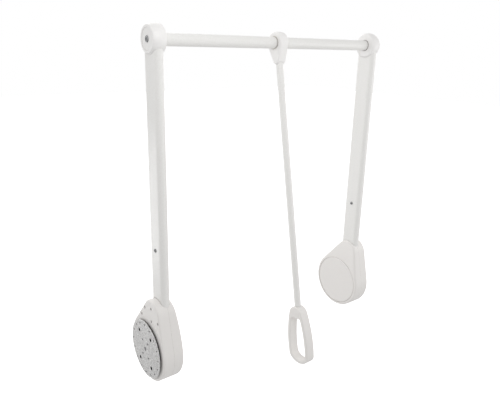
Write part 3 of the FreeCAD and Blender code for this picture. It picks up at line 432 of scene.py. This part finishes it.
# %% Dress the CAD pieces
FINISHES = {
    "white_lacquered_steel": powder_coated_steel(),
    "white_plastic": moulded_abs("moulded_abs_white", "#EEEBE8", "#F1EEEB"),
    "zinc_plated_steel": zinc_plated_steel(),
    "bearing_plastic": moulded_acetal(),
    "sintered_steel": sintered_steel(),
    "spring_steel": spring_steel(),
}
slot_of = {row["node"]: row["material_slot"] for row in frame["record"]["subparts"]}
for name, node in nodes.items():
    node.data.materials.clear()
    node.data.materials.append(FINISHES[slot_of[name]])
print(len(FINISHES), "finishes")

# %% [markdown]
# Two groups have a finish of their own within their slot: the base plates, which are plated
# sheet, and the knuckles and the collar, which are the paler plastic.

# %% Dress the plates, the knuckles and the collar
plated_sheet = zinc_plated_sheet()
paler_abs = moulded_abs("moulded_abs_paler_white", "#F4F2F1", "#F7F6F4")
for name, node in nodes.items():
    if name.endswith("base_plate"):
        node.data.materials[0] = plated_sheet
    if name.endswith("knuckle") or name == "collar":
        node.data.materials[0] = paler_abs
print(plated_sheet.name, "and", paler_abs.name)

# %% [markdown]
# The CAD screws are plain cylinders. Real ones have a cross recess, which catches a shadow and
# tells the eye at once what they are. A helper finds each screw of a group in the CAD mesh, so
# that the modelled ones stand exactly where they belong.

# %% Find the single screws in a CAD node
MERGE_GAP = 0.001 * MM


def islands(node):
    """The separate pieces of a mesh, each as the lowest and the highest corner of its box."""
    mesh = bmesh.new()
    mesh.from_mesh(node.data)
    bmesh.ops.remove_doubles(mesh, verts=mesh.verts, dist=MERGE_GAP)
    found, seen = [], set()
    for seed in mesh.verts:
        if seed in seen:
            continue
        seen.add(seed)
        group, queue = [], [seed]
        while queue:
            vert = queue.pop()
            group.append(vert.co.copy())
            others = [edge.other_vert(vert) for edge in vert.link_edges]
            queue += [other for other in others if other not in seen]
            seen.update(others)
        low = Vector([min(place[axis] for place in group) for axis in range(3)])
        high = Vector([max(place[axis] for place in group) for axis in range(3)])
        found.append((low, high))
    mesh.free()
    return found


# %% [markdown]
# One screw starts as the outline of its cross, twelve corners made from a square whose sides are
# pushed out. The recess is that outline extruded down and drawn together, the head's top is
# bridged from it to a circle, and the dome, the head's underside and the shank follow by
# extruding the circle's edges and moving them.

# %% The cross and the steps of a ring
# shares of the head's radius
WING_LENGTH = 0.6
WING_WIDTH = 0.19


def extrude_ring(mesh, edges, scale, lift):
    """Pulls a ring of edges on by one step, scaled about the Z axis and moved along it."""
    made = bmesh.ops.extrude_edge_only(mesh, edges=edges)["geom"]
    verts = [part for part in made if isinstance(part, bmesh.types.BMVert)]
    bmesh.ops.scale(mesh, vec=(scale, scale, 1), verts=verts)
    bmesh.ops.translate(mesh, vec=(0, 0, lift), verts=verts)
    return [part for part in made if isinstance(part, bmesh.types.BMEdge)]


def cross_outline(mesh, head_radius):
    """Twelve edges in the shape of a plus sign."""
    half, tip = WING_WIDTH * head_radius, WING_LENGTH * head_radius
    quarter = [(tip, -half), (tip, half), (half, half)]
    corners = []
    for step in range(4):
        turn = Matrix.Rotation(step * math.pi / 2, 3, "Z")
        corners += [mesh.verts.new(turn @ Vector((x, y, 0))) for x, y in quarter]
    return [mesh.edges.new(ends) for ends in zip(corners, corners[1:] + corners[:1])]


# %% [markdown]
# The dome follows a quarter of an ellipse. At each step the rim goes out by the sine of the angle
# and down by what is left of the cosine, so that the flat top passes into the edge with no kink.

# %% Model one screw with a cross recess
# shares of the head's radius
FLAT_TOP = 0.72
DOME_REACH = 0.28
# shares of the head's height
RECESS_DEPTH = 0.75
DOME_DROP = 0.55
# how far the recess draws together, and how fine the head is
RECESS_TAPER = 0.55
DOME_STEPS = 4
HEAD_SEGMENTS = 36


def one_screw(head_radius, head_height, shank_radius, length):
    """A pan head screw about the Z axis. Its head's underside is at 0, and its shank goes down."""
    mesh = bmesh.new()
    cross = cross_outline(mesh, head_radius)
    floor = extrude_ring(mesh, cross, RECESS_TAPER, -RECESS_DEPTH * head_height)
    bmesh.ops.contextual_create(mesh, geom=floor)
    circle = bmesh.ops.create_circle(
        mesh, cap_ends=False, segments=HEAD_SEGMENTS, radius=FLAT_TOP * head_radius
    )["verts"]
    rim = list({edge for vert in circle for edge in vert.link_edges})
    bmesh.ops.bridge_loops(mesh, edges=cross + rim)
    radius, level = FLAT_TOP, 0.0
    for step in range(1, DOME_STEPS + 1):
        angle = step / DOME_STEPS * math.pi / 2
        wanted = FLAT_TOP + DOME_REACH * math.sin(angle)
        drop = DOME_DROP * (1 - math.cos(angle))
        rim = extrude_ring(mesh, rim, wanted / radius, -(drop - level) * head_height)
        radius, level = wanted, drop
    rim = extrude_ring(mesh, rim, 1.0, -(1 - level) * head_height)
    rim = extrude_ring(mesh, rim, shank_radius / head_radius, 0.0)
    rim = extrude_ring(mesh, rim, 1.0, -length)
    bmesh.ops.contextual_create(mesh, geom=rim)
    bmesh.ops.translate(mesh, vec=(0, 0, head_height), verts=mesh.verts)
    bmesh.ops.recalc_face_normals(mesh, faces=mesh.faces)
    return mesh


# %% [markdown]
# All screws lie along X. Their heads point away from the middle of the lift on the outer faces,
# and towards it on the inner ones. A screw's box gives its middle, its head's radius and its
# length, and one mesh takes all the screws of a node. The knuckle's screw has a wide flanged
# head, which covers its pocket and stands on the face, so it is given a radius and a rise.

# %% Place one screw
# millimetres: head's height, shank's radius, and the flanged head's radius and rise
SCREWS = {
    "knuckle_screw": {"head": 1.8, "shank": 2.4, "wide": 6.8, "rise": 1.8},
    "cross_screws": {"head": 2.2, "shank": 2.0},
    "arm_screws": {"head": 1.8, "shank": 1.9},
    "shell_screws": {"head": 1.8, "shank": 1.9},
}


def placed_screw(low, high, size, outward):
    """One screw, turned along X and moved into the box of the CAD one."""
    rise = size.get("rise", 0)
    top = (high.x if outward > 0 else low.x) + outward * rise
    radius = size.get("wide", (high.y - low.y) / 2)
    length = high.x - low.x + rise - size["head"]
    screw = one_screw(radius, size["head"], size["shank"], length)
    turn = Matrix.Rotation(outward * math.pi / 2, 4, "Y")
    middle = (low + high) / 2
    foot = Vector((top - outward * size["head"], middle.y, middle.z))
    bmesh.ops.transform(screw, matrix=Matrix.Translation(foot) @ turn, verts=screw.verts)
    return screw


# %% [markdown]
# The arm's small screws come from both sides of it, so each one's place against the arm's middle
# says which way its head points. All others point away from the middle of the lift.

# %% Put the screws in place
def screws_for(node_name, kind):
    """Modelled screws in the places of a CAD node's plain ones."""
    size = {name: value * MM for name, value in SCREWS[kind].items()}
    side = node_name.split("_")[0]
    arm_low, arm_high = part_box(side + "_arm_tube")
    arm_middle = (arm_low.x + arm_high.x) / 2
    whole = bmesh.new()
    for low, high in islands(nodes[node_name]):
        if kind == "cross_screws":
            outward = 1 if (low.x + high.x) / 2 > arm_middle else -1
        else:
            outward = -1 if side == "left" else 1
        screw = placed_screw(low, high, size, outward)
        part = bpy.data.meshes.new("screw")
        screw.to_mesh(part)
        screw.free()
        whole.from_mesh(part)
        bpy.data.meshes.remove(part)
    mesh = bpy.data.meshes.new(node_name + "_with_recess")
    whole.to_mesh(mesh)
    whole.free()
    mesh.materials.append(FINISHES["zinc_plated_steel"])
    piece = bpy.data.objects.new(node_name + "_with_recess", mesh)
    bpy.context.scene.collection.objects.link(piece)
    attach(piece, "lift_frame")
    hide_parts(node_name)
    return piece


for side in ("left", "right"):
    for kind in SCREWS:
        piece = screws_for(f"{side}_{kind}", kind)
        print(piece.name, len(piece.data.polygons), "faces")

# %% [markdown]
# The springs are squeezed between the rack, which rises in the arm as the arm comes down, and a
# block further up. Each pair gets a copy of its mesh of its own, in place of the CAD one. The copy
# stays rigid and does not shorten.

# %% Give the springs meshes of their own
for side in ("left", "right"):
    coils = bmesh.new()
    coils.from_mesh(nodes[f"{side}_springs"].data)
    bmesh.ops.remove_doubles(coils, verts=coils.verts, dist=MERGE_GAP)
    mesh = bpy.data.meshes.new(f"{side}_springs_that_shorten")
    coils.to_mesh(mesh)
    coils.free()
    mesh.materials.append(FINISHES["spring_steel"])
    piece = bpy.data.objects.new(mesh.name, mesh)
    bpy.context.scene.collection.objects.link(piece)
    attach(piece, "lift_frame")
    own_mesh(piece)
    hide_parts(f"{side}_springs")

# %% [markdown]
# The studio is a white cove: a floor well below the object, and a white world round it. Rays from
# the camera, from a mirror and through glass see the world at a strength of 1, which is pure
# white, while it lights the object with little more than half of that. The soft boxes below do
# the rest, from sides of their own, so that the white pieces keep their form and stay darker than
# what is behind them.

# %% World
WORLD_LIGHT = 0.60
world = bpy.data.worlds.new("white_cove")
bpy.context.scene.world = world
world.use_nodes = True
tree = world.node_tree
tree.nodes.clear()
path = add(tree, "ShaderNodeLightPath")
sees = (path, "Is Camera Ray")
for ray in ("Is Glossy Ray", "Is Transmission Ray"):
    either = add(
        tree, "ShaderNodeMath", {"operation": "MAXIMUM"}, links={0: sees, 1: (path, ray)}
    )
    sees = (either, "Value")
strength = add(
    tree,
    "ShaderNodeMapRange",
    inputs={"To Min": WORLD_LIGHT, "To Max": 1.0},
    links={"Value": sees},
)
backdrop = add(
    tree,
    "ShaderNodeBackground",
    inputs={"Color": linear("#FFFFFF")},
    links={"Strength": (strength, "Result")},
)
add(tree, "ShaderNodeOutputWorld", links={"Surface": (backdrop, "Background")})
print(world.name, "lights the object at", WORLD_LIGHT)

# %% [markdown]
# The floor lies well under the housings. It glows for the camera alone, so that it blends with
# the world, and still darkens where the object's soft shadow falls.

# %% Floor
FLOOR_DROP = 0.9
FLOOR_SIZE = 30.0
FLOOR_GLOW = 0.8
floor_mesh = bmesh.new()
bmesh.ops.create_grid(floor_mesh, x_segments=1, y_segments=1, size=FLOOR_SIZE / 2)
bmesh.ops.translate(floor_mesh, vec=(0, 0, -FLOOR_DROP), verts=floor_mesh.verts)
mesh = bpy.data.meshes.new("studio_floor")
floor_mesh.to_mesh(mesh)
floor_mesh.free()
floor = bpy.data.objects.new("studio_floor", mesh)
bpy.context.scene.collection.objects.link(floor)

paint, tree, shader, place = start_material("matt_studio_paint", roughness=0.9)
shader.inputs["Base Color"].default_value = linear("#EDEDED")
path = add(tree, "ShaderNodeLightPath")
glow = add(
    tree,
    "ShaderNodeMapRange",
    inputs={"To Min": 0.0, "To Max": FLOOR_GLOW},
    links={"Value": (path, "Is Camera Ray")},
)
shader.inputs["Emission Color"].default_value = linear("#FFFFFF")
tree.links.new(glow.outputs["Result"], shader.inputs["Emission Strength"])
mesh.materials.append(paint)
print(floor.name, FLOOR_SIZE, "m wide,", FLOOR_DROP, "m below the pivots")

# %% [markdown]
# Soft boxes shape the white pieces, and all of them aim at the middle of the lift. Three large
# ones stand behind it, high, left and right, and draw its outer edges. Two stand in front at the
# right, one low and one near, and light the front walls. Two small ones hang in front of the
# bar's left end and above it. Their light falls off down the arms, which tells the eye how tall
# the lift is. The last stands low behind on the left, where the zinc of the left plate mirrors it.

# %% Lights
LIGHT_TARGET = Vector((0.36, 0.0, 0.36))
# place, width and height in metres, and watts
SOFT_BOXES = {
    "high_box_behind": ((0.4, 1.6, 1.8), 1.6, 1.0, 10),
    "left_box_behind": ((-2.0, 1.6, 0.9), 1.6, 1.6, 7.8),
    "right_box_behind": ((2.4, 1.2, 0.6), 1.4, 1.4, 8),
    "right_box_low": ((1.8, -1.8, -0.1), 1.2, 1.2, 2.5),
    "right_box_near": ((1.3, -0.6, 0.5), 0.6, 0.6, 1.6),
    "bar_box": ((0.0, -0.8, 1.05), 0.5, 0.4, 1.7),
    "corner_box": ((-0.15, -0.6, 1.2), 0.5, 0.4, 0.8),
    "plate_box": ((-0.94, 1.9, -0.32), 0.7, 0.9, 5.1),
}


def soft_box(name, place, width, height, watts):
    """A rectangular area lamp that aims at the middle of the lift."""
    lamp = bpy.data.lights.new(name, "AREA")
    lamp.shape = "RECTANGLE"
    lamp.size, lamp.size_y, lamp.energy = width, height, watts
    box = bpy.data.objects.new(name, lamp)
    bpy.context.scene.collection.objects.link(box)
    box.location = place
    box.rotation_euler = (LIGHT_TARGET - Vector(place)).to_track_quat("-Z", "Y").to_euler()


for name, setting in SOFT_BOXES.items():
    soft_box(name, *setting)
print(len(SOFT_BOXES), "soft boxes,", sum(row[-1] for row in SOFT_BOXES.values()), "W in all")

# %% [markdown]
# The camera stands in front and to the left, level with the bar, and looks down past the left
# arm. It is rolled by one and a half degrees, as a camera held by hand often is.

# %% Camera
CAMERA_PLACE = Vector((-0.4611, -0.9913, 0.7131))
CAMERA_TARGET = Vector((0.2881, -0.0293, 0.3386))
CAMERA_ROLL = math.radians(1.5)
LENS_MM = 36.29
SENSOR_MM = 36.0
lens = bpy.data.cameras.new("camera")
lens.lens, lens.sensor_width = LENS_MM, SENSOR_MM
lens.clip_start, lens.clip_end = 0.01, 100
camera = bpy.data.objects.new("camera", lens)
bpy.context.scene.collection.objects.link(camera)
look = (CAMERA_TARGET - CAMERA_PLACE).to_track_quat("-Z", "Y").to_matrix().to_4x4()
roll = Matrix.Rotation(CAMERA_ROLL, 4, "Z")
camera.matrix_world = Matrix.Translation(CAMERA_PLACE) @ look @ roll
bpy.context.scene.camera = camera
bpy.context.scene.view_settings.view_transform = "Standard"
print("camera", round((CAMERA_TARGET - CAMERA_PLACE).length, 2), "m from its target")
